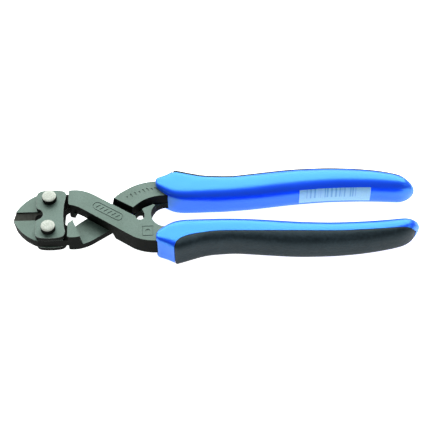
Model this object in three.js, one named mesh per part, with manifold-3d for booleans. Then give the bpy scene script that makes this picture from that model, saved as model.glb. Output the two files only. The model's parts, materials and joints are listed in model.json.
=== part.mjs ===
// Compact bolt cutters, 200 mm long, with two jaw levers that cross behind a linked head.
//
// Each jaw lever is one forging: blade, tongue, crossing beam, neck and a tang inside the grip.
// A lever turns on its own pivot pin, and two link plates hold the two pins a fixed way apart.
// The lower jaw lever is the upper one turned half a turn about the length of the tool, apart
// from its thinner lap, and the heel of one lever carries a tooth for a socket in the other.
//
// Millimetres. +X runs from the blades to the grip ends, +Z is up from the bench.
// Everything is drawn with X = 0 on the line of the pivots and Z = 0 on the mid plane, and the
// outermost group moves it to the origin: the middle of the box, on the bench.

import * as THREE from 'three';
import { mergeVertices } from 'three/addons/utils/BufferGeometryUtils.js';
import Module from 'manifold-3d';

// Driving dimensions.
const TIP_X = -18.2;
const END_X = 181.8;
const GAP = 0.3;
const PIVOT_Y = 8.8;

const HEAD_HALF = 5.5;
const PLATE_INNER_Z = 2.9;
const BLADE_HALF = PLATE_INNER_Z - GAP;
const GRIP_HALF = 8.5;

const PIN_RADIUS = 2.8;
const PIN_TAIL_RADIUS = 2.0;
const PIN_HEAD_RADIUS = 3.55;
const PIN_END_Z = 8.4;
const BORE_RADIUS = PIN_RADIUS + GAP;

const BLADE_GAP_HALF = 0.15;
const WIDE_BEVEL = 3.4;
const NARROW_BEVEL = 1.6;
const HEEL_RADIUS = PIVOT_Y - BLADE_GAP_HALF;
const TOOTH_RADIUS = 1.1;
const SOCKET_RADIUS = 1.6;
const TOOTH_ANGLE = THREE.MathUtils.degToRad(8);

const SHOULDER_X = 9.3;
const UPPER_LAP_Z = -1.3;
const LOWER_LAP_Z = 1.8;
const EDGE_BREAK = 0.5;

const NECK_END_X = 58;
const TANG_HALF_WIDTH = 3;
const TANG_HALF_THICK = 3.2;

const GRIP_ROUNDING = 3.6;
const PAD_THICK = 2.2;
const PAD_REAR_Z = -6.6;
const LABEL_THICK = 0.4;
const LABEL_X = [124, 159.6];
const LABEL_Z = [-3.6, 6];

const CURVE_STEPS = 6;
const TURN_STEPS = 28;

const wasm = await Module();
wasm.setup();

// Solids: a three.js geometry becomes a manifold for joining and cutting, and comes back.
function solidOf(geometry) {
  const bare = geometry.clone();
  bare.deleteAttribute('normal');
  bare.deleteAttribute('uv');
  const merged = mergeVertices(bare, 1e-5);
  const corners = merged.index.array;
  const kept = [];
  for (let i = 0; i < corners.length; i += 3) {
    const [a, b, c] = corners.slice(i, i + 3);
    if (a !== b && b !== c && c !== a) kept.push(a, b, c);
  }
  const vertProperties = new Float32Array(merged.attributes.position.array);
  const triVerts = new Uint32Array(kept);
  return new wasm.Manifold(new wasm.Mesh({ numProp: 3, vertProperties, triVerts }));
}

function geometryOf(solid) {
  const mesh = solid.getMesh();
  const geometry = new THREE.BufferGeometry();
  geometry.setAttribute('position', new THREE.BufferAttribute(new Float32Array(mesh.vertProperties), 3));
  geometry.setIndex(new THREE.BufferAttribute(new Uint32Array(mesh.triVerts), 1));
  geometry.computeVertexNormals();
  return geometry;
}

// A flat outline raised from lowZ to highZ, with edges rounded by "round". The outline is the
// solid's widest section, unless "spread" makes the rounding grow outwards from it instead.
function raised(shape, lowZ, highZ, { round = 0, steps = 1, spread = false, curve = CURVE_STEPS } = {}) {
  const geometry = new THREE.ExtrudeGeometry(shape, {
    depth: highZ - lowZ - 2 * round,
    curveSegments: curve,
    bevelEnabled: round > 0,
    bevelThickness: round,
    bevelSize: round,
    bevelOffset: spread ? 0 : -round,
    bevelSegments: steps,
  });
  geometry.translate(0, 0, lowZ + round);
  return solidOf(geometry);
}

function polygon(points) {
  return new THREE.Shape(points.map(([x, y]) => new THREE.Vector2(x, y)));
}

function disc(x, y, radius) {
  const shape = new THREE.Shape();
  shape.absarc(x, y, radius, 0, 2 * Math.PI, false);
  return shape;
}

// A solid of revolution about the Z axis at (0, y), from a closed profile of [radius, z].
function turned(profile, y) {
  const points = profile.map(([radius, z]) => new THREE.Vector2(radius, z));
  const geometry = new THREE.LatheGeometry(points, TURN_STEPS);
  geometry.rotateX(Math.PI / 2);
  geometry.translate(0, y, 0);
  return solidOf(geometry);
}

// Head: two link plates with a notch at the blade side, and two headed pins with rear collars.
function linkPlateShape() {
  const shape = new THREE.Shape();
  shape.moveTo(-6.4, 4.6);
  shape.lineTo(-6.4, 11.2);
  shape.quadraticCurveTo(-6.2, 13.6, -3.4, 14.0);
  shape.quadraticCurveTo(1, 14.7, 5.6, 13.9);
  shape.quadraticCurveTo(8.3, 13.4, 8.2, 10.6);
  shape.quadraticCurveTo(5.9, 0, 8.2, -10.6);
  shape.quadraticCurveTo(8.3, -13.4, 5.6, -13.9);
  shape.quadraticCurveTo(1, -14.7, -3.4, -14.0);
  shape.quadraticCurveTo(-6.2, -13.6, -6.4, -11.2);
  shape.lineTo(-6.4, -4.6);
  shape.quadraticCurveTo(-6.3, -3.3, -5.0, -2.9);
  shape.absarc(-6.1, 0, 3.1, -Math.PI / 3, Math.PI / 3, false);
  shape.quadraticCurveTo(-6.3, 3.3, -6.4, 4.6);
  return shape;
}

function linkPlate() {
  const plate = raised(linkPlateShape(), PLATE_INNER_Z, HEAD_HALF, { round: 0.4 });
  const bore = (y) => raised(disc(0, y, BORE_RADIUS), 0, GRIP_HALF);
  return plate.subtract(bore(PIVOT_Y)).subtract(bore(-PIVOT_Y));
}

function pivotPin(y) {
  const headZ = HEAD_HALF + GAP;
  return turned([
    [0, -PIN_END_Z],
    [PIN_TAIL_RADIUS, -PIN_END_Z],
    [PIN_TAIL_RADIUS, -HEAD_HALF],
    [PIN_RADIUS, -HEAD_HALF],
    [PIN_RADIUS, headZ],
    [PIN_HEAD_RADIUS, headZ],
    [PIN_HEAD_RADIUS, PIN_END_Z - 0.3],
    [PIN_HEAD_RADIUS - 0.3, PIN_END_Z],
    [0, PIN_END_Z],
  ], y);
}

function pinCollar(y) {
  const bore = PIN_TAIL_RADIUS + GAP;
  const collarZ = -HEAD_HALF - GAP;
  return turned([
    [bore, -PIN_END_Z],
    [PIN_HEAD_RADIUS - 0.3, -PIN_END_Z],
    [PIN_HEAD_RADIUS, -PIN_END_Z + 0.3],
    [PIN_HEAD_RADIUS, collarZ],
    [bore, collarZ],
    [bore, -PIN_END_Z],
  ], y);
}

// Jaw lever, drawn as the upper jaw with the front towards +Z. Its grip lies at negative Y.
// The blade and its tongue: a parrot-beak arc outside, the cutting edge, a relief behind it,
// and a heel that rolls on the other lever's heel about the middle of the head.
function bladeShape() {
  const shape = new THREE.Shape();
  shape.moveTo(TIP_X, BLADE_GAP_HALF);
  shape.absarc(-5, BLADE_GAP_HALF, 2.5, Math.PI, 0.12, true);
  const heelStart = Math.asin(2.3 / HEEL_RADIUS);
  const heelEnd = Math.asin(3.4 / HEEL_RADIUS);
  shape.absarc(0, PIVOT_Y, HEEL_RADIUS, -Math.PI / 2 - heelStart, -Math.PI / 2 + heelEnd, false);
  shape.lineTo(SHOULDER_X + 1, 6.2);
  shape.lineTo(SHOULDER_X + 1, 13.5);
  shape.lineTo(7, 13.9);
  shape.lineTo(-5.2, 13.9);
  shape.absarc(2.75, -6.4, 21.9, 1.955, 2.838, false);
  return shape;
}

// The bevels ground on both sides of the cutting edge, as two long prisms to cut away.
function bladeBevels() {
  const reach = 1.4;
  const length = 15.2;
  const side = (width, sign) => {
    const section = polygon([
      [-2, sign * 0.1],
      [BLADE_GAP_HALF, sign * 0.1],
      [BLADE_GAP_HALF + width * reach, sign * BLADE_HALF * reach],
      [-2, sign * BLADE_HALF * reach],
    ]);
    const prism = new THREE.ExtrudeGeometry(section, { depth: length, bevelEnabled: false });
    prism.rotateX(Math.PI / 2);
    prism.rotateZ(Math.PI / 2);
    prism.translate(TIP_X - 1, 0, 0);
    return solidOf(prism);
  };
  return side(WIDE_BEVEL, 1).add(side(NARROW_BEVEL, -1));
}

// Where the two beams differ: the lower one has the thinner lap and is wider for it. Each list
// ends one curve and gives the next its start: the belly of the neck, then the root at the block.
const UPPER_BEAM = {
  neck: [[53, -17.3], [46.6, -17.4], [41.2, -14.5]],
  root: [[18.7, 0.95], [13.9, 4.6], [10.4, 5.1]],
};
const LOWER_BEAM = {
  neck: [[53, -18.1], [44.2, -17.8], [38, -13.5]],
  root: [[18.1, -1.6], [12.2, 2.6], [10.9, 4.7]],
};

// The beam from the shoulder across the tool to the neck, with the ear beside the neck.
function beamShape({ neck, root }) {
  const shape = new THREE.Shape();
  shape.moveTo(SHOULDER_X, 6.3);
  shape.lineTo(SHOULDER_X, 13);
  shape.quadraticCurveTo(9.35, 13.95, 10.6, 14);
  shape.quadraticCurveTo(15.9, 14.5, 21.5, 11.1);
  shape.absarc(44.75, -2.7, 2.2, Math.PI, 2 * Math.PI + 0.2, false);
  shape.quadraticCurveTo(46.9, -0.4, 46.1, 1.7);
  shape.lineTo(51.2, 4.0);
  shape.lineTo(51.9, 3.2);
  shape.absarc(57.6, -1.7, 7.5, 2.5, 4.6, false);
  shape.lineTo(NECK_END_X, -9.2);
  shape.lineTo(NECK_END_X, neck[0][1]);
  shape.lineTo(...neck[0]);
  shape.quadraticCurveTo(...neck[1], ...neck[2]);
  shape.lineTo(...root[0]);
  shape.quadraticCurveTo(...root[1], ...root[2]);
  shape.quadraticCurveTo(9.6, 5.2, SHOULDER_X, 6.3);
  return shape;
}

// What is milled from the back of the beam so that the other lever can pass behind it. The
// front block and the neck stay at full thickness, and the wall at the neck leans out.
const WALL_LINE = [[41.3, -2.7], [32.5, -8.2]];
const WALL_LEAN = 0.45;

function lapPocketShape() {
  return polygon([
    [11.4, 2.5],
    [12.0, 4.9],
    [15.5, 13.3],
    [16.4, 16.5],
    [62, 16.5],
    [62, -9.5],
    [57.4, -9.45],
    [53.6, -9.15],
    [49.9, -8.3],
    [47, -7.1],
    [44.5, -5.5],
    ...WALL_LINE,
    [35.2, -11.1],
    [38.1, -13.9],
    [38, -20],
    [28, -20],
    [11.4, -3],
  ]);
}

function leaningWall(lapZ) {
  const [start, end] = WALL_LINE.map(([x, y]) => new THREE.Vector2(x, y));
  const along = end.clone().sub(start).normalize();
  const out = new THREE.Vector2(along.y, -along.x);
  end.addScaledVector(along, 5);
  const corners = [];
  for (const point of [start, end]) {
    for (const z of [-HEAD_HALF - 1, lapZ]) {
      for (const move of [WALL_LEAN * (z + HEAD_HALF), -3]) {
        const foot = point.clone().addScaledVector(out, move);
        corners.push([foot.x, foot.y, z]);
      }
    }
  }
  return wasm.Manifold.hull(corners);
}

// The tang lies along the middle of the grip: [x, distance from the centre line].
const TANG_MIDDLE = [
  [55, 13.4],
  [66, 13.9],
  [76, 12.5],
  [87, 12.0],
  [104, 13.4],
  [122, 15.1],
  [139, 15.7],
  [150, 15.5],
];

function tangShape(grow) {
  const half = TANG_HALF_WIDTH + grow;
  const last = TANG_MIDDLE.length - 1;
  const side = (sign) => TANG_MIDDLE.map(([x, y], i) => [i === last ? x + grow : x, sign * half - y]);
  return polygon([...side(1), ...side(-1).reverse()]);
}

function tang(grow) {
  const half = TANG_HALF_THICK + grow;
  return raised(tangShape(grow), -half, half);
}

function heelMark(radius) {
  const x = PIVOT_Y * Math.sin(TOOTH_ANGLE);
  const y = PIVOT_Y * (1 - Math.cos(TOOTH_ANGLE));
  return raised(disc(x, y, radius), -BLADE_HALF, BLADE_HALF);
}

function jawLever(lapZ, beamLines) {
  const blade = raised(bladeShape(), -BLADE_HALF, BLADE_HALF).subtract(bladeBevels());
  const beam = raised(beamShape(beamLines), -HEAD_HALF, HEAD_HALF, { round: EDGE_BREAK });
  const pocket = raised(lapPocketShape(), -HEAD_HALF - 1, lapZ).subtract(leaningWall(lapZ));
  const bore = raised(disc(0, PIVOT_Y, BORE_RADIUS), -HEAD_HALF, HEAD_HALF);
  return beam.subtract(pocket).add(blade).add(tang(0)).subtract(bore);
}

// The flat face of a grip as distances from the centre line: [x, distance]. The outer edge
// starts at the guard's corner. The rounding spreads outwards from this face.
const GRIP_OUTER = [
  [62.9, 20.3],
  [68, 19.0],
  [76, 16.8],
  [87, 15.7],
  [104, 17.3],
  [124, 19.2],
  [139, 19.4],
  [156, 18.3],
  [168, 16.1],
  [175.5, 13.2],
];
const GRIP_INNER = [
  [56.2, 14.6],
  [58.6, 11.8],
  [61.8, 10.2],
  [66.5, 9.3],
  [76, 9.1],
  [88, 9.3],
  [104, 10.5],
  [122, 12.2],
  [139, 13.0],
  [156, 12.9],
  [168, 12.1],
  [175.5, 11.5],
];
const GUARD_FRONT = 15.9;
const GRIP_TIP = [11.6, 12.4];

function gripFace() {
  const away = ([x, distance]) => new THREE.Vector2(x, -distance);
  const outer = GRIP_OUTER.map(away);
  const inner = GRIP_INNER.map(away);
  const [front, end] = [inner[0], inner.at(-1)];
  const endX = END_X - GRIP_ROUNDING;
  const shape = new THREE.Shape();
  shape.moveTo(front.x, front.y);
  shape.lineTo(front.x, -GUARD_FRONT);
  shape.lineTo(outer[0].x, outer[0].y);
  shape.splineThru(outer.slice(1));
  shape.lineTo(endX, -GRIP_TIP[1]);
  shape.lineTo(endX, -GRIP_TIP[0]);
  shape.lineTo(end.x, end.y);
  shape.splineThru(inner.slice(1, -1).reverse());
  return shape;
}

function gripBody(grow) {
  const half = GRIP_HALF + grow;
  return raised(gripFace(), -half, half, { round: GRIP_ROUNDING + grow, steps: 3, spread: true, curve: 3 });
}

// The plan of the soft pad: it wraps the outer side and reaches over the front face.
function padShape() {
  const shape = new THREE.Shape();
  shape.moveTo(61.2, -28);
  shape.lineTo(61.2, -22.2);
  shape.quadraticCurveTo(63, -18.3, 70, -16.2);
  shape.quadraticCurveTo(76, -14.4, 86, -14.5);
  shape.quadraticCurveTo(104, -14.9, 122, -15.8);
  shape.quadraticCurveTo(146, -17.0, 168, -15.6);
  shape.quadraticCurveTo(176, -15.0, 178.4, -18.4);
  shape.lineTo(178.4, -28);
  shape.lineTo(61.2, -28);
  return shape;
}

function padRegion(grow) {
  return raised(padShape(), PAD_REAR_Z - grow, GRIP_HALF + 2, { round: grow, spread: true });
}

function gripPad() {
  return gripBody(0).intersect(padRegion(0)).subtract(gripBody(-PAD_THICK));
}

// The glossy sleeve: the grip body with seats for the pad, the tang and the end of the neck.
function gripSleeve() {
  const padSeat = padRegion(GAP).subtract(gripBody(-PAD_THICK - GAP));
  const neckSeat = raised(polygon([
    [48, -8.8],
    [NECK_END_X + GAP, -8.8],
    [NECK_END_X + GAP, -18.4],
    [48, -18.4],
  ]), -HEAD_HALF - GAP, HEAD_HALF + GAP);
  return gripBody(0).subtract(padSeat).subtract(neckSeat).subtract(tang(GAP));
}

// A thin sticker that follows the inner side of a grip, clear of it by the usual gap.
function gripLabel() {
  const skin = gripBody(GAP + LABEL_THICK).subtract(gripBody(GAP));
  const window = raised(polygon([
    [LABEL_X[0], 0],
    [LABEL_X[1], 0],
    [LABEL_X[1], -14],
    [LABEL_X[0], -14],
  ]), -LABEL_Z[1], -LABEL_Z[0]);
  return skin.intersect(window);
}

// Materials.
function finish(color, roughness, metalness) {
  return new THREE.MeshStandardMaterial({ color, roughness, metalness });
}

const darkSteel = () => finish(0x6f7671, 0.55, 0.8);
const groundSteel = () => finish(0xb9bab4, 0.35, 1.0);
const bluePlastic = () => finish(0x1f6fe0, 0.25, 0);
const blackRubber = () => finish(0x24282c, 0.8, 0);
const paper = () => finish(0xdfe6ea, 0.6, 0);

function part(name, solid, material) {
  const mesh = new THREE.Mesh(geometryOf(solid), material);
  mesh.name = name;
  return mesh;
}

// Assembly. A piece drawn for the upper jaw lever serves the lower one after half a turn
// about the length of the tool.
function turnedOver(...meshes) {
  const half = new THREE.Group();
  half.rotation.x = Math.PI;
  half.add(...meshes);
  return half;
}

const head = new THREE.Group();
head.add(
  part('front_link_plate', linkPlate(), darkSteel()),
  part('upper_pivot_pin', pivotPin(PIVOT_Y), groundSteel()),
  part('lower_pivot_pin', pivotPin(-PIVOT_Y), groundSteel()),
  part('upper_pin_collar', pinCollar(PIVOT_Y), groundSteel()),
  part('lower_pin_collar', pinCollar(-PIVOT_Y), groundSteel()),
  turnedOver(part('rear_link_plate', linkPlate(), darkSteel())),
);

const upperLever = new THREE.Group();
upperLever.add(
  part('upper_jaw_lever', jawLever(UPPER_LAP_Z, UPPER_BEAM).subtract(heelMark(SOCKET_RADIUS)), darkSteel()),
  part('lower_grip_sleeve', gripSleeve(), bluePlastic()),
  part('lower_grip_pad', gripPad(), blackRubber()),
);

const lowerLever = turnedOver(
  part('lower_jaw_lever', jawLever(LOWER_LAP_Z, LOWER_BEAM).add(heelMark(TOOTH_RADIUS)), darkSteel()),
  part('upper_grip_sleeve', gripSleeve(), bluePlastic()),
  part('upper_grip_pad', gripPad(), blackRubber()),
  part('grip_label', gripLabel(), paper()),
);

const group = new THREE.Group();
group.position.set(-(TIP_X + END_X) / 2, 0, GRIP_HALF);
group.add(head, upperLever, lowerLever);

export default group;
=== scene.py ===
import json
import math

import bmesh
import bpy
import numpy as np
from mathutils import Matrix, Vector


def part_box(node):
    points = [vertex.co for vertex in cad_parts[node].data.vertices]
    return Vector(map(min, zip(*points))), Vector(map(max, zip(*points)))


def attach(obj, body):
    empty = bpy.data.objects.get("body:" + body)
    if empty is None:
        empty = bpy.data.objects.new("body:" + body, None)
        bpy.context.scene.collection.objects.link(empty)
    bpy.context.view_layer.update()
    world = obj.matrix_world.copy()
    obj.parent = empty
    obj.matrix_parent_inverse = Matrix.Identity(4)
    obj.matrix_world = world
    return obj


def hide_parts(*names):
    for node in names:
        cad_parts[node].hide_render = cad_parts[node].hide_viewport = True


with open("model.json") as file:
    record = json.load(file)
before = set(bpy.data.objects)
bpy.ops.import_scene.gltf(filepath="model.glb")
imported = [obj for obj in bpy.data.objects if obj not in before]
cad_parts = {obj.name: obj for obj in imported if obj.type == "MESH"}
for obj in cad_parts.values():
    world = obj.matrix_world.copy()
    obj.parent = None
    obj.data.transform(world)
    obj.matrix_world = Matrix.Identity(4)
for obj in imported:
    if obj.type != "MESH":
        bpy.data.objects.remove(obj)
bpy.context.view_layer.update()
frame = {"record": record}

MM = 0.001

JOINTS = {joint["name"]: joint for joint in frame["record"]["behaviour"]["joints"]}
PIVOT = Vector(JOINTS["upper_jaw_pivot"]["pos_m"])
PIVOT_Y = PIVOT.y / MM

HEAD, UPPER_ARM, LOWER_ARM = "link_head", "upper_jaw_arm", "lower_jaw_arm"

# Head and levers, the sizes that the CAD model has.
HEAD_HALF = (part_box("upper_jaw_lever")[1].z - PIVOT.z) / MM
PLATE_INNER = (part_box("front_link_plate")[0].z - PIVOT.z) / MM
PIN_END = (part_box("upper_pivot_pin")[1].z - PIVOT.z) / MM
PIN_RADIUS = (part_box("upper_pivot_pin")[1].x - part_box("upper_pivot_pin")[0].x) / MM / 2
GAP = 0.3
BLADE_HALF = PLATE_INNER - GAP
EDGE_LAND = 0.15
WIDE_BEVEL = 3.4
NARROW_BEVEL = 1.6
TIP_X = -18.2
SHOULDER_X = 9.3
NECK_END_X = 60
UPPER_LAP_Z = -1.3
LOWER_LAP_Z = 1.8
BORE_RADIUS = 3.1
BORE_REACH = 9
MARK_DEPTH = 0.3
HEEL_RADIUS = PIVOT_Y - EDGE_LAND
LONG_MARK = (28.9, 0.6)
SQUARE_MARK = (48.5, -11.6)

# Grips.
GRIP_HALF = PIVOT.z / MM
GRIP_START = 52.6
GRIP_END = (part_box("upper_grip_sleeve")[1].x - PIVOT.x) / MM
PAD_START = 61.2
PAD_END = 179.8
PAD_WRAP = 2.0
SEAT_DEPTH = 0.9
PAD_PROUD = 0.12
LABEL_X = (124.0, 159.6)
LABEL_Z = (-6.2, 3.6)
LABEL_GAP = 0.05


# ---------------------------------------------------------------- outlines
def curve(p0, p1, p2, steps=10):
    """Points of a quadratic curve after its start p0, which the outline already holds."""
    made = []
    for i in range(1, steps + 1):
        t = i / steps
        weights = ((1 - t) ** 2, 2 * t * (1 - t), t * t)
        made.append(tuple(np.dot(weights, ends) for ends in zip(p0, p1, p2)))
    return made


def arc(x, y, radius, start, end, steps=24):
    turns = np.linspace(start, end, steps + 1)
    return [(x + radius * math.cos(t), y + radius * math.sin(t)) for t in turns]


def through(points, steps=6):
    """A smooth line through the points (Catmull-Rom)."""
    made = []
    padded = [points[0]] + list(points) + [points[-1]]
    for a, b, c, d in zip(padded, padded[1:], padded[2:], padded[3:]):
        for i in range(steps):
            t = i / steps
            made.append(tuple(
                0.5 * (2 * q + (r - p) * t + (2 * p - 5 * q + 4 * r - s) * t * t
                       + (3 * q - p - 3 * r + s) * t ** 3)
                for p, q, r, s in zip(a, b, c, d)
            ))
    return made + [points[-1]]


def circle(x, y, radius, steps=48):
    return arc(x, y, radius, 0, 2 * math.pi, steps)[:-1]


# ---------------------------------------------------------------- solids
def new_object(name, mesh):
    made = bpy.data.objects.new(name, mesh)
    bpy.context.scene.collection.objects.link(made)
    return made


def made_solid(shape, name):
    """The bmesh as a new object, its normals turned outwards."""
    bmesh.ops.recalc_face_normals(shape, faces=shape.faces)
    mesh = bpy.data.meshes.new(name)
    shape.to_mesh(mesh)
    shape.free()
    return new_object(name, mesh)


def prism(outline, low, high, name="cutter"):
    """A closed solid over an outline, from z = low to z = high, in millimetres."""
    shape = bmesh.new()
    floor = [shape.verts.new((x, y, low)) for x, y in outline]
    roof = [shape.verts.new((x, y, high)) for x, y in outline]
    shape.faces.new(floor)
    shape.faces.new(roof)
    for i in range(len(outline)):
        j = (i + 1) % len(outline)
        shape.faces.new((floor[i], floor[j], roof[j], roof[i]))
    return made_solid(shape, name)


def turned(profile, y, name, steps=72):
    """A solid of revolution about the z axis at (0, y) from a closed profile of (radius, z)."""
    shape = bmesh.new()
    rings = []
    for i in range(steps):
        angle = 2 * math.pi * i / steps
        c, s = math.cos(angle), math.sin(angle)
        rings.append([shape.verts.new((r * c, y + r * s, z)) for r, z in profile])
    for i in range(steps):
        near, far = rings[i], rings[(i + 1) % steps]
        for j in range(len(profile) - 1):
            shape.faces.new((near[j], far[j], far[j + 1], near[j + 1]))
    bmesh.ops.remove_doubles(shape, verts=shape.verts, dist=1e-5)
    return made_solid(shape, name)


def baked(obj):
    """Applies every modifier on obj."""
    graph = bpy.context.evaluated_depsgraph_get()
    mesh = bpy.data.meshes.new_from_object(obj.evaluated_get(graph))
    obj.modifiers.clear()
    old = obj.data
    obj.data = mesh
    bpy.data.meshes.remove(old)
    return obj


def combine(obj, other, operation):
    step = obj.modifiers.new(operation.lower(), "BOOLEAN")
    step.operation = operation
    step.solver = "EXACT"
    step.object = other
    baked(obj)
    bpy.data.objects.remove(other)
    return obj


def cut(obj, other):
    return combine(obj, other, "DIFFERENCE")


def join(obj, other):
    return combine(obj, other, "UNION")


def cleaned(obj):
    shape = bmesh.new()
    shape.from_mesh(obj.data)
    bmesh.ops.remove_doubles(shape, verts=shape.verts, dist=0.01)
    bmesh.ops.dissolve_limit(shape, angle_limit=math.radians(0.6), verts=shape.verts, edges=shape.edges)
    shape.to_mesh(obj.data)
    shape.free()
    return obj


def rounded(obj, width, segments=3, keep_sharp=None, edge_slot=-1):
    """Rounds the edges that turn by more than 28 degrees, except where keep_sharp says so."""
    cleaned(obj)
    shape = bmesh.new()
    shape.from_mesh(obj.data)
    weight = shape.edges.layers.float.new("bevel_weight_edge")
    for edge in shape.edges:
        turn = edge.calc_face_angle(0) if len(edge.link_faces) == 2 else 0
        middle = (edge.verts[0].co + edge.verts[1].co) / 2
        sharp = keep_sharp is not None and keep_sharp(middle)
        edge[weight] = 1.0 if turn > math.radians(28) and not sharp else 0.0
    shape.to_mesh(obj.data)
    shape.free()
    step = obj.modifiers.new("edge_break", "BEVEL")
    step.limit_method = "WEIGHT"
    step.width = width
    step.segments = segments
    step.use_clamp_overlap = True
    step.material = edge_slot
    return baked(obj)


def place(obj, over=False):
    """Moves a drawn solid into the frame; over turns it half round about the tool's length."""
    turn = Matrix.Rotation(math.pi, 4, "X") if over else Matrix.Identity(4)
    middle = Vector((PIVOT.x, 0, PIVOT.z))
    obj.data.transform(Matrix.Translation(middle) @ Matrix.Scale(MM, 4) @ turn)
    return obj


def shade(obj, angle=35):
    for face in obj.data.polygons:
        face.use_smooth = True
    obj.data.set_sharp_from_angle(angle=math.radians(angle))
    return obj


def weighted(obj):
    step = obj.modifiers.new("weighted", "WEIGHTED_NORMAL")
    step.keep_sharp = True
    step.weight = 100
    return obj


# ---------------------------------------------------------------- materials
class Nodes:
    """A small helper that adds shader nodes and joins them."""

    def __init__(self, name):
        self.material = bpy.data.materials.new(name)
        self.material.use_nodes = True
        self.tree = self.material.node_tree
        self.shader = self.tree.nodes["Principled BSDF"]
        self.place = self.add("ShaderNodeTexCoord").outputs["Object"]

    def add(self, kind, **values):
        node = self.tree.nodes.new(kind)
        for key, value in values.items():
            setattr(node, key, value)
        return node

    def link(self, source, target):
        self.tree.links.new(source, target)

    def set(self, **values):
        for key, value in values.items():
            self.shader.inputs[key.replace("_", " ")].default_value = value

    def noise(self, scale, detail=4, stretch=(1, 1, 1), roughness=0.55):
        squeeze = self.add("ShaderNodeMapping")
        squeeze.inputs["Scale"].default_value = stretch
        self.link(self.place, squeeze.inputs["Vector"])
        node = self.add("ShaderNodeTexNoise")
        node.inputs["Scale"].default_value = scale
        node.inputs["Detail"].default_value = detail
        node.inputs["Roughness"].default_value = roughness
        self.link(squeeze.outputs["Vector"], node.inputs["Vector"])
        return node.outputs["Fac"]

    def ramp(self, source, stops):
        node = self.add("ShaderNodeValToRGB")
        while len(node.color_ramp.elements) < len(stops):
            node.color_ramp.elements.new(0.5)
        for element, (position, colour) in zip(node.color_ramp.elements, stops):
            element.position = position
            element.color = (*colour, 1)
        self.link(source, node.inputs["Fac"])
        return node.outputs["Color"]

    def span(self, source, low, high, start=0.3, end=0.7):
        node = self.add("ShaderNodeMapRange")
        node.inputs["From Min"].default_value = start
        node.inputs["From Max"].default_value = end
        node.inputs["To Min"].default_value = low
        node.inputs["To Max"].default_value = high
        self.link(source, node.inputs["Value"])
        return node.outputs["Result"]

    def mix(self, amount, first, second, blend="MIX"):
        node = self.add("ShaderNodeMix", data_type="RGBA", blend_type=blend)
        for socket, value in (("Factor", amount), ("A", first), ("B", second)):
            wanted = "VALUE" if socket == "Factor" else "RGBA"
            target = next(i for i in node.inputs if i.name == socket and i.type == wanted)
            if isinstance(value, (int, float, tuple)):
                target.default_value = value
            else:
                self.link(value, target)
        return next(o for o in node.outputs if o.type == "RGBA")

    def bump(self, *layers):
        """Bump from (height, distance in metres, strength) layers, one on the other."""
        normal = None
        for height, distance, strength in layers:
            node = self.add("ShaderNodeBump")
            node.inputs["Distance"].default_value = distance
            node.inputs["Strength"].default_value = strength
            self.link(height, node.inputs["Height"])
            if normal is not None:
                self.link(normal, node.inputs["Normal"])
            normal = node.outputs["Normal"]
        self.link(normal, self.shader.inputs["Normal"])


def steel_face():
    """Phosphated flats: grey-green, mottled, with a fine blasted grain."""
    n = Nodes("phosphated_steel_face")
    n.set(Metallic=0.25, Specular_IOR_Level=0.5)
    mottle = n.noise(260, 5)
    grain = n.noise(2600, 3)
    stain = n.noise(70, 3)
    colour = n.ramp(mottle, [(0.3, (0.082, 0.138, 0.112)), (0.7, (0.112, 0.178, 0.148))])
    speck = n.ramp(grain, [(0.25, (0.72, 0.74, 0.72)), (0.6, (1.06, 1.05, 1.05))])
    colour = n.mix(1.0, colour, speck, "MULTIPLY")
    cloud = n.ramp(stain, [(0.35, (0.88, 0.9, 0.88)), (0.65, (1.05, 1.04, 1.05))])
    n.link(n.mix(1.0, colour, cloud, "MULTIPLY"), n.shader.inputs["Base Color"])
    n.link(n.span(mottle, 0.44, 0.6), n.shader.inputs["Roughness"])
    n.bump((grain, 0.00006, 0.5), (mottle, 0.00012, 0.3))
    return n.material


def steel_wall():
    """The forged side walls: black oxide, rougher, with faint scale. Their near-black colour and weak
    specular are partly black oxide and partly painted shade of the sides.
    """
    n = Nodes("black_oxide_and_painted_shade_wall")
    n.set(Metallic=0.0, Specular_IOR_Level=0.04)
    scale = n.noise(420, 5)
    grain = n.noise(2200, 3)
    # Near-black colour: black oxide together with painted shade of the side walls.
    colour = n.ramp(scale, [(0.3, (0.0022, 0.003, 0.0024)), (0.7, (0.006, 0.0075, 0.006))])
    n.link(colour, n.shader.inputs["Base Color"])
    n.link(n.span(scale, 0.5, 0.68), n.shader.inputs["Roughness"])
    n.bump((grain, 0.00008, 0.5), (scale, 0.0002, 0.35))
    return n.material


def steel_edge():
    """Broken edges, rubbed a little brighter by use."""
    n = Nodes("rubbed_steel_edge")
    n.set(Metallic=0.45, Specular_IOR_Level=0.5)
    rub = n.noise(900, 4)
    colour = n.ramp(rub, [(0.35, (0.06, 0.078, 0.068)), (0.65, (0.20, 0.25, 0.225))])
    n.link(colour, n.shader.inputs["Base Color"])
    n.link(n.span(rub, 0.36, 0.55), n.shader.inputs["Roughness"])
    n.bump((rub, 0.00005, 0.4))
    return n.material


def steel_ground_bevel():
    """The ground cutting bevels: brownish dark steel with fine lines from the wheel."""
    n = Nodes("ground_cutting_bevel")
    n.set(Metallic=0.5, Specular_IOR_Level=0.4)
    lines = n.noise(900, 4, (1, 0.05, 0.05))
    tint = n.noise(160, 3)
    colour = n.ramp(tint, [(0.3, (0.088, 0.092, 0.078)), (0.7, (0.145, 0.155, 0.135))])
    streak = n.ramp(lines, [(0.3, (0.75, 0.75, 0.75)), (0.7, (1.2, 1.2, 1.2))])
    n.link(n.mix(1.0, colour, streak, "MULTIPLY"), n.shader.inputs["Base Color"])
    n.link(n.span(lines, 0.3, 0.5), n.shader.inputs["Roughness"])
    n.bump((lines, 0.00005, 0.5))
    return n.material


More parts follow.
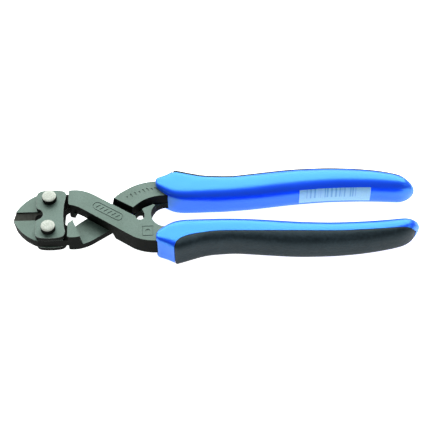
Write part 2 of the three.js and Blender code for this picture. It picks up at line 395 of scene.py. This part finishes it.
def pin_face():
    """Ground pin ends: bright, with a speckle and faint grinding lines."""
    n = Nodes("ground_pin_end")
    n.set(Metallic=0.55, Specular_IOR_Level=0.5)
    speck = n.noise(1500, 4)
    lines = n.noise(1400, 3, (1, 0.08, 1))
    shades = [(0.3, (0.20, 0.22, 0.19)), (0.55, (0.30, 0.33, 0.29)), (0.75, (0.42, 0.44, 0.40))]
    colour = n.ramp(speck, shades)
    streak = n.ramp(lines, [(0.3, (0.9, 0.9, 0.9)), (0.7, (1.05, 1.05, 1.05))])
    n.link(n.mix(1.0, colour, streak, "MULTIPLY"), n.shader.inputs["Base Color"])
    n.link(n.span(speck, 0.34, 0.55), n.shader.inputs["Roughness"])
    n.bump((lines, 0.00004, 0.4), (speck, 0.00006, 0.35))
    return n.material


def blue_plastic():
    """Glossy moulded blue, with a very fine orange peel and a few light scuffs."""
    n = Nodes("glossy_blue_plastic")
    n.set(IOR=2.0, Specular_IOR_Level=0.62, Specular_Tint=(0.2, 0.95, 0.8, 1))
    n.set(Sheen_Weight=0.3, Sheen_Roughness=0.4, Sheen_Tint=(0.0, 1.0, 0.4, 1))
    shade_noise = n.noise(45, 3)
    peel = n.noise(900, 2)
    scuff = n.noise(300, 5, (0.25, 1, 1))
    colour = n.ramp(shade_noise, [(0.3, (0.0002, 0.029, 0.90)), (0.7, (0.0003, 0.035, 0.97))])
    n.link(colour, n.shader.inputs["Base Color"])
    n.link(n.span(scuff, 0.29, 0.36, 0.35, 0.75), n.shader.inputs["Roughness"])
    n.bump((peel, 0.00002, 0.15))
    return n.material


def black_rubber():
    """Soft pad: dark slate with the fine spark-eroded grain of the mould."""
    n = Nodes("soft_black_rubber")
    n.set(Specular_IOR_Level=0.3, Specular_Tint=(0.6, 0.88, 1.0, 1))
    grain = n.noise(800, 4)
    patch = n.noise(120, 4)
    colour = n.ramp(patch, [(0.3, (0.0065, 0.0115, 0.015)), (0.7, (0.0125, 0.0205, 0.026))])
    speck = n.ramp(grain, [(0.3, (0.55, 0.55, 0.55)), (0.7, (1.5, 1.5, 1.5))])
    n.link(n.mix(1.0, colour, speck, "MULTIPLY"), n.shader.inputs["Base Color"])
    n.link(n.span(grain, 0.5, 0.68), n.shader.inputs["Roughness"])
    n.bump((grain, 0.00025, 0.8), (patch, 0.0002, 0.15))
    return n.material


def label_film():
    """Pale film with plain upright stripes of uneven weight, which spell and encode nothing."""
    n = Nodes("pale_striped_film")
    n.set(Specular_IOR_Level=0.5)
    stripes = n.noise(950, 1, (1, 0, 0), 0.2)
    fleck = n.noise(1800, 3)
    split = n.add("ShaderNodeSeparateXYZ")
    n.link(n.place, split.inputs["Vector"])

    def fade(axis, zero, start, end):
        """Rises from 0 to 1 between two places along an axis, in millimetres from zero."""
        return n.span(split.outputs[axis], 0.0, 1.0, zero + start * MM, zero + end * MM)

    lower_edge = fade("Z", PIVOT.z, -0.3, 0.3)
    first = fade("X", PIVOT.x, 127.4, 127.8)
    last = fade("X", PIVOT.x, 152.4, 153.0)
    ink = n.ramp(stripes, [(0.50, (0.46, 0.80, 0.64)), (0.56, (0.22, 0.56, 0.50))])
    paper = n.ramp(fleck, [(0.3, (0.42, 0.78, 0.60)), (0.7, (0.50, 0.86, 0.66))])
    printed = n.mix(first, paper, n.mix(lower_edge, paper, ink))
    n.link(n.mix(last, printed, paper), n.shader.inputs["Base Color"])
    n.link(n.span(fleck, 0.38, 0.52), n.shader.inputs["Roughness"])
    n.bump((fleck, 0.00002, 0.3))
    return n.material


def floor_paint():
    """Pale paint that gives off some light, so that the floor stays white."""
    n = Nodes("pale_floor")
    n.set(Specular_IOR_Level=0.1)
    cloud = n.noise(3, 2)
    colour = n.ramp(cloud, [(0.3, (0.86, 0.86, 0.86)), (0.7, (0.89, 0.89, 0.89))])
    n.link(colour, n.shader.inputs["Base Color"])
    n.link(n.span(cloud, 0.8, 0.9), n.shader.inputs["Roughness"])
    n.set(Emission_Color=(1, 1, 1, 1), Emission_Strength=1.1)
    return n.material


STEEL = {
    "face": steel_face(),
    "wall": steel_wall(),
    "edge": steel_edge(),
    "bevel": steel_ground_bevel(),
    "pin": pin_face(),
}
FACE, WALL, EDGE, BEVEL = range(4)


def steel_slots(obj):
    for key in ("face", "wall", "edge", "bevel"):
        obj.data.materials.append(STEEL[key])
    return obj


def sort_steel(obj, edge_slot=EDGE):
    """Gives flats, walls and cutting bevels their own steel; rounded edges keep theirs. The walls'
    near-black steel is partly black oxide and partly painted shade, and the flat relief floors beside the
    link plate get it as painted shadow.
    """
    for face in obj.data.polygons:
        if face.material_index == edge_slot:
            continue
        up = abs(face.normal.z)
        cutting = face.center.x < -3.0 and 0.25 < up < 0.97
        # Flat faces in the relief beside the link plate take the near-black wall steel: painted shadow.
        shaded_relief = 6 < face.center.x < SHOULDER_X + 1 and abs(face.center.z) < BLADE_HALF - 0.1
        flat = up > 0.9 and not shaded_relief
        face.material_index = BEVEL if cutting else FACE if flat else WALL
    return obj


# ---------------------------------------------------------------- head
def plate_outline():
    left, top = -6.4, 14.0
    side = [(left, 4.6), (left, 11.2)]
    side += curve(side[-1], (-6.2, 13.6), (-3.4, top), 8)
    side += curve(side[-1], (1, 14.7), (5.6, 13.9), 12)
    side += curve(side[-1], (8.3, 13.4), (8.2, 10.6), 8)
    lower = [(x, -y) for x, y in reversed(side)]
    waist = curve(side[-1], (5.9, 0), lower[0], 24)[:-1]
    notch = arc(-6.1, 0, 3.1, -math.pi / 3, math.pi / 3, 20)
    into = curve(lower[-1], (-6.3, -3.3), notch[0], 6)
    out = curve(notch[-1], (-6.3, 3.3), side[0], 6)[:-1]
    return side + waist + lower + into + notch[1:] + out


def link_plate(name, over):
    plate = prism(plate_outline(), PLATE_INNER, HEAD_HALF, name)
    for sign in (1, -1):
        cut(plate, prism(circle(0, sign * PIVOT_Y, BORE_RADIUS), 0, BORE_REACH))
    steel_slots(plate)
    rounded(plate, 0.42, 3, edge_slot=EDGE)
    sort_steel(plate)
    place(plate, over)
    return weighted(shade(plate))


def pivot_pin(name, y):
    head = HEAD_HALF + 0.08
    chamfer = 0.35
    profile = [
        (0, -PIN_END), (1.6, -PIN_END), (1.95, -PIN_END + 0.2), (2.0, -HEAD_HALF), (2.8, -HEAD_HALF),
        (2.8, head), (PIN_RADIUS - 0.15, head), (PIN_RADIUS, head + 0.15), (PIN_RADIUS, PIN_END - chamfer),
        (PIN_RADIUS - 0.1, PIN_END - 0.12), (PIN_RADIUS - chamfer, PIN_END),
        (PIN_RADIUS * 0.5, PIN_END + 0.02), (0, PIN_END + 0.03),
    ]
    pin = turned(profile, y, name)
    pin.data.materials.append(STEEL["pin"])
    pin.data.materials.append(STEEL["wall"])
    for face in pin.data.polygons:
        # The pin's sides take the near-black wall steel, black oxide together with painted shade; its ends
        # take the ground pin steel.
        face.material_index = 0 if abs(face.normal.z) > 0.5 else 1
    place(pin)
    return shade(pin, 40)


def pin_collar(name, y):
    top = -HEAD_HALF - 0.08
    profile = [
        (2.15, -PIN_END + 0.15), (2.3, -PIN_END), (PIN_RADIUS - 0.35, -PIN_END),
        (PIN_RADIUS - 0.1, -PIN_END + 0.12), (PIN_RADIUS, -PIN_END + 0.35), (PIN_RADIUS, top - 0.15),
        (PIN_RADIUS - 0.15, top), (2.15, top), (2.15, -PIN_END + 0.15),
    ]
    collar = turned(profile, y, name)
    collar.data.materials.append(STEEL["pin"])
    collar.data.materials.append(STEEL["wall"])
    for face in collar.data.polygons:
        # The collar's underside takes the ground pin steel. The rest takes the near-black wall steel,
        # black oxide together with painted shade.
        face.material_index = 0 if face.normal.z < -0.5 else 1
    place(collar)
    return shade(collar, 40)


# ---------------------------------------------------------------- jaw levers
def blade_outline():
    heel_start = -math.pi / 2 - math.asin(2.3 / HEEL_RADIUS)
    heel_end = -math.pi / 2 + math.asin(3.4 / HEEL_RADIUS)
    points = arc(-5, EDGE_LAND, 2.5, math.pi, 0.12, 20)
    points += arc(0, PIVOT_Y, HEEL_RADIUS, heel_start, heel_end, 14)
    points += [(SHOULDER_X + 1, 6.2), (SHOULDER_X + 1, 13.5), (7, 13.9), (-5.2, 13.6)]
    return points + arc(2.9, -6.4, 21.9, 1.955, 2.8379, 32)


# The inner edge of each beam and the belly of its neck. The lower lever's lap is thinner, so
# it is wider.
UPPER_BEAM = {
    "neck": [(53, -17.3), (46.6, -17.4), (41.2, -14.5)],
    "root": [(18.7, 0.95), (13.9, 4.6), (10.4, 5.1)],
}
LOWER_BEAM = {
    "neck": [(53, -18.1), (44.2, -17.8), (38, -13.5)],
    "root": [(18.1, -1.6), (12.2, 2.6), (10.9, 4.7)],
}


def beam_outline(beam):
    points = [(SHOULDER_X, 6.3), (SHOULDER_X, 13.0)]
    points += curve(points[-1], (9.35, 13.95), (10.6, 14.0), 6)
    points += curve(points[-1], (15.9, 14.5), (21.5, 11.1), 14)
    points += arc(44.75, -2.7, 2.2, math.pi, 2 * math.pi + 0.2, 24)
    points += through([(46.85, -1.4), (46.3, 0.2), (45.9, 1.6), (49.2, 3.2), (51.4, 4.1), (52.1, 3.5)], 4)
    points += arc(57.6, -1.7, 7.5, 2.45, 4.6, 24)
    points += [(NECK_END_X, -9.2), (NECK_END_X, beam["neck"][0][1]), beam["neck"][0]]
    points += curve(*beam["neck"], 16)
    points += [beam["root"][0]]
    points += curve(*beam["root"], 12)
    return points + curve(points[-1], (9.6, 5.2), (SHOULDER_X, 6.3), 4)[:-1]


# A shallow relief across the blade, where the link plate ends short of the shoulder. Its floor takes the
# near-black wall steel, a painted shadow in the gap beside the plate.
RELIEF = [(7.0, -2), (SHOULDER_X + 0.5, -2), (SHOULDER_X + 0.5, 16), (7.0, 16)]
RELIEF_HALF = BLADE_HALF - 0.35

STEP_LINE = ((12.0, 4.9), (15.5, 13.3))
WALL_LINE = ((41.3, -2.7), (32.0, -8.51))


def lap_pocket_outline():
    under_neck = [(44.5, -5.5), (47, -7.1), (49.9, -8.3), (53.6, -9.15), (57.4, -9.45)]
    neck_inner = through([WALL_LINE[0], *under_neck], 5)
    corner = [WALL_LINE[1], (33.2, -9.95), (34.8, -11.35), (36.6, -12.65)]
    points = [(11.4, 2.5), *STEP_LINE, (16.4, 16.5), (62, 16.5), (62, -9.5)]
    return points + neck_inner[::-1] + corner + [(36.7, -20), (28, -20), (11.4, -3)]


def wall_ramp(lap_z):
    """The foot of the wall where the lap ends leans out: this much is left of the pocket."""
    lean = 0.45
    (x0, y0), (x1, y1) = WALL_LINE
    length = math.hypot(x1 - x0, y1 - y0)
    along = ((x1 - x0) / length, (y1 - y0) / length)
    out = (along[1], -along[0])
    corners = []
    for x, y in ((x0, y0), (x1 + 0.3 * along[0], y1 + 0.3 * along[1])):
        for z in (-HEAD_HALF - 1, lap_z):
            for move in (lean * (z + HEAD_HALF) + 0.04, -0.5):
                corners.append((x + move * out[0], y + move * out[1], z))
    shape = bmesh.new()
    made = [shape.verts.new(corner) for corner in corners]
    bmesh.ops.convex_hull(shape, input=made)
    return made_solid(shape, "ramp")


def cutting_prism(width, sign):
    """A slope ground up from the cutting edge, then a short steep face up to the flat."""
    z0, knee, z1 = 0.04 * sign, (BLADE_HALF - 1.0) * sign, (BLADE_HALF + 1) * sign
    section = [(-2, z0), (EDGE_LAND, z0), (width - 0.12, knee), (width + 0.06, z1), (-2, z1)]
    bar = prism(section, TIP_X - 1, -4.0)
    bar.data.transform(Matrix(((0, 0, 1, 0), (1, 0, 0, 0), (0, 1, 0, 0), (0, 0, 0, 1))))
    shape = bmesh.new()
    shape.from_mesh(bar.data)
    bmesh.ops.recalc_face_normals(shape, faces=shape.faces)
    shape.to_mesh(bar.data)
    shape.free()
    return bar


def step_fillet(lap_z):
    """The sloped foot of the front block, where it comes down to the lapped face."""
    (x0, y0), (x1, y1) = STEP_LINE
    run = 1.0
    shape = bmesh.new()
    ends = []
    for x, y in ((x0 - 0.5, y0 - 1.2), (x1 + 0.2, y1 + 0.48)):
        foot, toe, sunk = x - 0.3, x + run, lap_z + 0.4
        corners = ((foot, y, sunk), (toe, y, sunk), (toe, y, lap_z), (foot, y, lap_z - run))
        ends.append([shape.verts.new(corner) for corner in corners])
    for end in ends:
        shape.faces.new(end)
    for i in range(4):
        j = (i + 1) % 4
        shape.faces.new((ends[0][i], ends[0][j], ends[1][j], ends[1][i]))
    return made_solid(shape, "fillet")


def heel_mark(radius):
    angle = math.radians(8)
    x, y = PIVOT_Y * math.sin(angle), PIVOT_Y * (1 - math.cos(angle))
    return prism(circle(x, y, radius, 32), -BLADE_HALF, BLADE_HALF)


def oblong(x, y, length, width, angle, steps=8):
    """An outline with round ends, turned by angle."""
    half = length / 2 - width / 2
    ends = arc(half, 0, width / 2, -math.pi / 2, math.pi / 2, steps)
    ends += arc(-half, 0, width / 2, math.pi / 2, 1.5 * math.pi, steps)
    c, s = math.cos(angle), math.sin(angle)
    return [(x + c * u - s * v, y + s * u + c * v) for u, v in ends]


def deboss(lever, outline, front=1):
    """Presses a plain shape into the front face (front = 1) or the back face (front = -1)."""
    low, high = sorted((front * (HEAD_HALF - MARK_DEPTH), front * (HEAD_HALF + 1)))
    return cut(lever, prism(outline, low, high))


def groove(lever, outer, inner, front=1):
    low, high = sorted((front * (HEAD_HALF - MARK_DEPTH), front * (HEAD_HALF + 1)))
    ring = cut(prism(outer, low, high), prism(inner, low - 1, high + 1))
    return cut(lever, ring)


def jaw_lever(name, beam, lap_z, over):
    lever = prism(beam_outline(beam), -HEAD_HALF, HEAD_HALF, name)
    pocket = prism(lap_pocket_outline(), -HEAD_HALF - 1, lap_z)
    cut(lever, cut(pocket, wall_ramp(lap_z)))
    join(lever, step_fillet(lap_z))
    blade = prism(blade_outline(), -BLADE_HALF, BLADE_HALF, "blade")
    cut(blade, cutting_prism(WIDE_BEVEL, 1))
    cut(blade, cutting_prism(NARROW_BEVEL, -1))
    if over:
        join(blade, heel_mark(1.1))
    else:
        cut(blade, heel_mark(1.6))
    # The relief floors cut here take the near-black wall steel in sort_steel, a painted shadow beside the
    # link plate.
    for low, high in ((RELIEF_HALF, HEAD_HALF), (-HEAD_HALF, -RELIEF_HALF)):
        cut(blade, prism(RELIEF, low, high))
    join(lever, blade)
    cut(lever, prism(circle(0, PIVOT_Y, BORE_RADIUS), -HEAD_HALF, HEAD_HALF))
    steel_slots(lever)

    def cutting_edge(point):
        return point.x < -3.2 and abs(point.z) < 1.0 and point.y < 1.2

    rounded(lever, 0.42, 3, cutting_edge, EDGE)
    return lever


def finish_lever(lever, over):
    sort_steel(lever)
    place(lever, over)
    return weighted(shade(lever, 32))


def upper_jaw_lever():
    """Front lap. Its plain pressed marks: a long oblong frame on the beam, a square by the grip."""
    lever = jaw_lever("upper_jaw_lever_forged", UPPER_BEAM, UPPER_LAP_Z, False)
    slope = math.radians(-33)
    x, y = LONG_MARK
    groove(lever, oblong(x, y, 17.0, 4.6, slope, 10), oblong(x, y, 16.2, 3.8, slope, 10))
    for i in range(6):
        along = (i - 2.5) * 2.3
        stroke = oblong(x + along * math.cos(slope), y + along * math.sin(slope), 2.6, 0.5,
                        slope + math.radians(62), 4)
        deboss(lever, stroke)
    x, y = SQUARE_MARK
    corners = [(-1, -1), (1, -1), (1, 1), (-1, 1)]
    groove(lever, [(x + 2.7 * u, y + 2.9 * v) for u, v in corners],
           [(x + 2.35 * u, y + 2.55 * v) for u, v in corners])
    deboss(lever, circle(x, y, 1.1, 20))
    return finish_lever(lever, False)


def lower_jaw_lever():
    """Back lap. A row of plain pressed dashes follows its neck."""
    lever = jaw_lever("lower_jaw_lever_forged", LOWER_BEAM, LOWER_LAP_Z, True)
    for i in range(8):
        turn = i / 7
        x = 38.4 + 14.2 * turn
        y = -(8.6 + 4.9 * math.sin(turn * math.pi / 2))
        deboss(lever, oblong(x, y, 2.3 if i % 3 else 1.5, 0.7, math.radians(70 - 24 * turn), 4), -1)
    return finish_lever(lever, True)


# ---------------------------------------------------------------- grips
# Distances from the centre line of the tool, outer edge and inner edge: (x, distance).
GRIP_OUTER = [
    (52.6, 17.6), (53.2, 18.5), (54.2, 19.2), (58, 21.1), (61.6, 23.35), (62.4, 23.75), (63.2, 23.5),
    (66, 22.8), (70, 21.7), (76, 20.3), (83, 19.8), (91, 19.65), (99, 20.5), (107, 21.5), (115, 22.4),
    (123, 23.0), (131, 23.2),
    (139, 23.2), (147, 22.8), (155, 22.1), (163, 21.0), (170, 19.5), (175, 17.8), (179, 15.8), (182, 13.6),
]
GRIP_INNER = [
    (52.6, 15.0), (53.2, 13.6), (54.2, 12.3), (55.6, 11.0), (57.8, 9.3), (59.6, 8.15), (61.6, 7.15),
    (64.4, 6.4), (68, 6.1), (72, 6.0), (76, 5.9), (83, 5.7), (91, 5.9), (99, 6.3), (107, 6.9),
    (115, 7.7), (123, 8.4), (131, 8.9),
    (139, 9.25), (147, 9.25), (155, 9.1), (163, 8.7), (170, 8.2), (175, 7.9), (179, 7.9), (182, 8.3),
]
# How much further out the hand side of the upper grip stands, and of the lower grip.
SWELL = {True: 0.4, False: -0.3}
# Where the pad's upper boundary lies on the front face: (x, distance).
PAD_EDGE = [
    (61.2, 22.9), (61.9, 20.6), (63.2, 18.9), (65.2, 17.5), (69.3, 16.2), (75, 15.2), (81, 14.55),
    (87, 14.5), (100, 14.9), (122, 15.7), (143, 16.4), (160, 15.9), (172, 15.2), (182, 14.6),
]
FINE = np.arange(GRIP_START, GRIP_END + 0.05, 0.1)
SECTION_STEPS = 400
# The pad's rounded border: (how far in from its edge, how far off the section).
PAD_BORDER = ((0.0, -SEAT_DEPTH + 0.05), (0.02, -0.25), (0.12, -0.04), (0.35, 0.06), (0.8, PAD_PROUD))
PAD_CLEARANCE = 0.14
# The pad closes towards this angle of the section at its end.
PAD_TURN = 0.45


def smooth_line(points, spread):
    """The line through the points at every station of FINE, its corners rounded over spread mm."""
    xs, ys = zip(*through(points, 8))
    line = np.interp(FINE, xs, ys)
    reach = int(spread * 10)
    kernel = np.hanning(2 * reach + 3)
    padded = np.concatenate((np.full(reach + 1, line[0]), line, np.full(reach + 1, line[-1])))
    return np.convolve(padded, kernel / kernel.sum(), "valid")


OUTER_LINE = smooth_line(GRIP_OUTER, 0.8)
INNER_LINE = smooth_line(GRIP_INNER, 0.8)
PAD_LINE = smooth_line(PAD_EDGE, 0.5)


def section_size(x, swell):
    """Middle distance, half width, half height and squareness of the grip's section at x."""
    outer = np.interp(x, FINE, OUTER_LINE) + swell * np.interp(x, [66, 80, 165, 178], [0, 1, 1, 0])
    inner = np.interp(x, FINE, INNER_LINE)
    tail = np.clip((x - 173.0) / (GRIP_END - 173.0), 0, 1)
    close = math.sqrt(max(0.0, 1 - tail ** 2.3))
    half_high = (GRIP_HALF - 0.5 * np.clip((x - 150) / 30, 0, 1)) * close
    nose = np.clip((x - GRIP_START) / 1.2, 0, 1)
    half_high *= 0.9 + 0.1 * math.sqrt(1 - (1 - nose) ** 2)
    squareness = np.interp(x, [53, 63, 80, 110, 182], [7.0, 6.0, 4.0, 3.3, 2.7])
    return (outer + inner) / 2, (outer - inner) / 2 * close, half_high, squareness


def section_points(x, angles, swell):
    middle, half_wide, half_high, power = section_size(x, swell)
    c, s = np.cos(angles), np.sin(angles)
    distance = middle + half_wide * np.sign(c) * np.abs(c) ** (2 / power)
    return distance, half_high * np.sign(s) * np.abs(s) ** (2 / power)


def run_along(distance, height):
    """How far along the section each of its points lies."""
    return np.concatenate(([0], np.cumsum(np.hypot(np.diff(distance), np.diff(height)))))


def pad_angles(x, swell):
    """Where the pad starts, over the rear edge, and ends, on the front face, as section angles."""
    middle, half_wide, half_high, power = section_size(x, swell)
    across = np.clip((np.interp(x, FINE, PAD_LINE) - middle) / half_wide, -0.95, 0.985)
    high = math.acos(math.copysign(abs(across) ** (power / 2), across))
    angles = np.linspace(-math.pi / 2 + 0.01, 0, 300)
    distance, height = section_points(x, angles, swell)
    rear_edge = int(np.argmax(distance * 0.825 - height * 0.565))
    run = run_along(distance, height)
    low = np.interp(run[rear_edge] - PAD_WRAP, run, angles)
    tail = np.clip((x - 168.0) / (PAD_END - 168.0), 0, 1)
    close = math.sqrt(max(0.0, 1 - tail ** 4))
    return PAD_TURN + (low - PAD_TURN) * close, PAD_TURN + (high - PAD_TURN) * close


def lifted(distance, height, length, places, lift):
    """Points at places along the section, each moved off it by its lift."""
    rising = length + np.arange(len(length)) * 1e-9
    d, h = np.interp(places, length, distance), np.interp(places, length, height)
    slope_d = np.interp(places, length, np.gradient(distance, rising))
    slope_h = np.interp(places, length, np.gradient(height, rising))
    size = np.maximum(np.hypot(slope_d, slope_h), 1e-12)
    return list(zip(d + lift * slope_h / size, h - lift * slope_d / size))


def along_section(x, start, end, fractions, swell, lift=0.0):
    """Points on the section between two angles, at fractions of its length, lifted off it."""
    distance, height = section_points(x, np.linspace(start, end, SECTION_STEPS), swell)
    length = run_along(distance, height)
    return lifted(distance, height, length, np.asarray(fractions) * length[-1], lift)


def stations(start, end, step, dense_ends=2.0):
    """Places along the grip, closer together near both ends."""
    near = [start + dense_ends * t for t in (0, 0.04, 0.12, 0.25, 0.45, 0.7)]
    far = [end - dense_ends * 2 * t for t in (0.7, 0.45, 0.25, 0.12, 0.04, 0.01)]
    count = int((far[0] - near[-1]) / step)
    middle = list(np.linspace(near[-1], far[0], count + 1))[1:-1]
    return near + middle + far


def skin(rings, name, closed_ring, caps):
    """A mesh over a list of rings of (x, y, z), in millimetres."""
    shape = bmesh.new()
    rows = [[shape.verts.new(point) for point in ring] for ring in rings]
    count = len(rows[0])
    for near, far in zip(rows, rows[1:]):
        for i in range(count if closed_ring else count - 1):
            j = (i + 1) % count
            shape.faces.new((near[i], far[i], far[j], near[j]))
    if caps:
        shape.faces.new(rows[0])
        shape.faces.new(rows[-1])
    bmesh.ops.remove_doubles(shape, verts=shape.verts, dist=0.004)
    bmesh.ops.dissolve_degenerate(shape, edges=shape.edges, dist=0.002)
    return made_solid(shape, name)


def grip_sleeve(name, over, material):
    """The blue body: a lofted grip with a seat sunk for the pad and a mouth for the neck."""
    blue_steps, seat_steps = np.linspace(0, 1, 41), np.linspace(0, 1, 31)
    places = [(x, False) for x in stations(GRIP_START, PAD_START, 1.0)]
    places += [(x, True) for x in stations(PAD_START, PAD_END, 1.6)]
    places += [(x, False) for x in stations(PAD_END, GRIP_END, 0.5, 0.8)]
    rings = []
    for x, seated in places:
        low, high = pad_angles(max(x, PAD_START), SWELL[over])
        low, high = (low, high) if x < PAD_END else (PAD_TURN - 0.001, PAD_TURN + 0.001)
        ring = along_section(x, high, low + 2 * math.pi, blue_steps, SWELL[over])
        ring += along_section(x, low, high, seat_steps, SWELL[over], -SEAT_DEPTH if seated else 0.0)
        rings.append([(x, -d, h) for d, h in ring])
    sleeve = skin(rings, name, True, True)
    mouth = [(48, -8.9), (NECK_END_X, -8.9), (NECK_END_X, -18.3), (48, -18.3)]
    cut(sleeve, prism(mouth, -HEAD_HALF - 0.3, HEAD_HALF + 0.3))
    sleeve.data.materials.clear()
    sleeve.data.materials.append(material)
    place(sleeve, over)
    return shade(sleeve, 38)


def pad_row(x, row_lift, swell):
    """One row of the pad across its width, with the border at both sides."""
    distance, height = section_points(x, np.linspace(*pad_angles(x, swell), SECTION_STEPS), swell)
    length = run_along(distance, height)
    total = length[-1]
    border = [(PAD_CLEARANCE + inset, min(lift, row_lift)) for inset, lift in PAD_BORDER]
    steps = border + [(total * fraction, row_lift) for fraction in np.linspace(0.08, 0.92, 31)]
    steps += [(total - min(inset, total * 0.49), lift) for inset, lift in reversed(border)]
    places, lifts = np.array(steps).T
    return lifted(distance, height, length, np.clip(places, 0, total), lifts)


def grip_pad(name, over, material):
    """The soft pad: it fills the seat, stands a little proud and has a rounded border."""
    start, end = PAD_START + PAD_CLEARANCE, PAD_END - 0.5
    rows = [(start + inset, lift) for inset, lift in PAD_BORDER]
    rows += [(x, PAD_PROUD) for x in stations(start + 1.0, end - 1.0, 1.4)]
    rows += [(end - inset, lift) for inset, lift in reversed(PAD_BORDER)]
    rings = [[(x, -d, h) for d, h in pad_row(x, lift, SWELL[over])] for x, lift in rows]
    pad = skin(rings, name, False, False)
    thick = pad.modifiers.new("thick", "SOLIDIFY")
    thick.thickness = 0.5
    thick.offset = -1
    thick.use_even_offset = False
    baked(pad)
    pad.data.materials.append(material)
    place(pad, over)
    return shade(pad, 60)


def grip_label(name):
    """The sticker, a thin film that follows the inner side of the upper grip."""
    rings = []
    for x in np.linspace(*LABEL_X, 37):
        _, _, half_high, power = section_size(x, SWELL[True])
        low = math.pi + math.asin(min(0.99, abs(LABEL_Z[0]) / half_high) ** (power / 2))
        high = math.pi - math.asin((LABEL_Z[1] / half_high) ** (power / 2))
        film = along_section(x, high, low, np.linspace(0, 1, 13), SWELL[True], LABEL_GAP)
        rings.append([(x, -d, h) for d, h in film])
    label = skin(rings, name, False, False)
    thick = label.modifiers.new("thick", "SOLIDIFY")
    thick.thickness = 0.08
    thick.offset = 1
    baked(label)
    label.data.materials.append(label_film())
    place(label, True)
    return shade(label, 50)


# ---------------------------------------------------------------- assembly
def add_piece(obj, body, node):
    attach(obj, body)
    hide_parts(node)


BLUE = blue_plastic()
BLACK = black_rubber()

add_piece(link_plate("front_plate", False), HEAD, "front_link_plate")
add_piece(link_plate("rear_plate", True), HEAD, "rear_link_plate")
add_piece(pivot_pin("upper_pin", PIVOT_Y), HEAD, "upper_pivot_pin")
add_piece(pivot_pin("lower_pin", -PIVOT_Y), HEAD, "lower_pivot_pin")
add_piece(pin_collar("upper_collar", PIVOT_Y), HEAD, "upper_pin_collar")
add_piece(pin_collar("lower_collar", -PIVOT_Y), HEAD, "lower_pin_collar")
add_piece(upper_jaw_lever(), UPPER_ARM, "upper_jaw_lever")
add_piece(lower_jaw_lever(), LOWER_ARM, "lower_jaw_lever")
add_piece(grip_sleeve("lower_sleeve", False, BLUE), UPPER_ARM, "lower_grip_sleeve")
add_piece(grip_sleeve("upper_sleeve", True, BLUE), LOWER_ARM, "upper_grip_sleeve")
add_piece(grip_pad("lower_pad", False, BLACK), UPPER_ARM, "lower_grip_pad")
add_piece(grip_pad("upper_pad", True, BLACK), LOWER_ARM, "upper_grip_pad")
add_piece(grip_label("striped_label"), LOWER_ARM, "grip_label")


# ---------------------------------------------------------------- studio
def aim(obj, target):
    obj.rotation_mode = "QUATERNION"
    obj.rotation_quaternion = (Vector(target) - obj.location).to_track_quat("-Z", "Y")


def studio_floor():
    bpy.ops.mesh.primitive_plane_add(size=6)
    floor = bpy.context.object
    floor.name = "floor"
    floor.data.materials.append(floor_paint())


def soft_light(name, place_at, size, watts, colour=(1, 1, 1)):
    data = bpy.data.lights.new(name, "AREA")
    data.shape = "RECTANGLE"
    data.size, data.size_y = size
    data.energy = watts
    data.color = colour
    light = bpy.data.objects.new(name, data)
    light.location = place_at
    bpy.context.scene.collection.objects.link(light)
    aim(light, (0, 0, 0))
    light.visible_camera = False
    return light


def studio():
    studio_floor()
    soft_light("backdrop", (0, 1.1, 0.95), (2.6, 1.3), 52)
    soft_light("side", (1.2, -0.3, 1.0), (0.6, 0.6), 2)
    world = bpy.data.worlds.new("studio")
    world.use_nodes = True
    world.node_tree.nodes["Background"].inputs["Color"].default_value = (1, 1, 1, 1)
    world.node_tree.nodes["Background"].inputs["Strength"].default_value = 0.3
    bpy.context.scene.world = world
    bpy.context.scene.view_settings.view_transform = "Standard"


def camera():
    distance, azimuth, elevation = 0.640, math.radians(-2.0), math.radians(55.6)
    target = Vector((0.0010, -0.0012, PIVOT.z))
    data = bpy.data.cameras.new("camera")
    data.sensor_width = 36
    data.lens = 106.95
    data.clip_start = 0.01
    cam = bpy.data.objects.new("camera", data)
    bpy.context.scene.collection.objects.link(cam)
    across = math.cos(elevation)
    back = Vector((math.sin(azimuth) * across, -math.cos(azimuth) * across, math.sin(elevation)))
    cam.location = target + back * distance
    aim(cam, target)
    bpy.context.scene.camera = cam


studio()
camera()
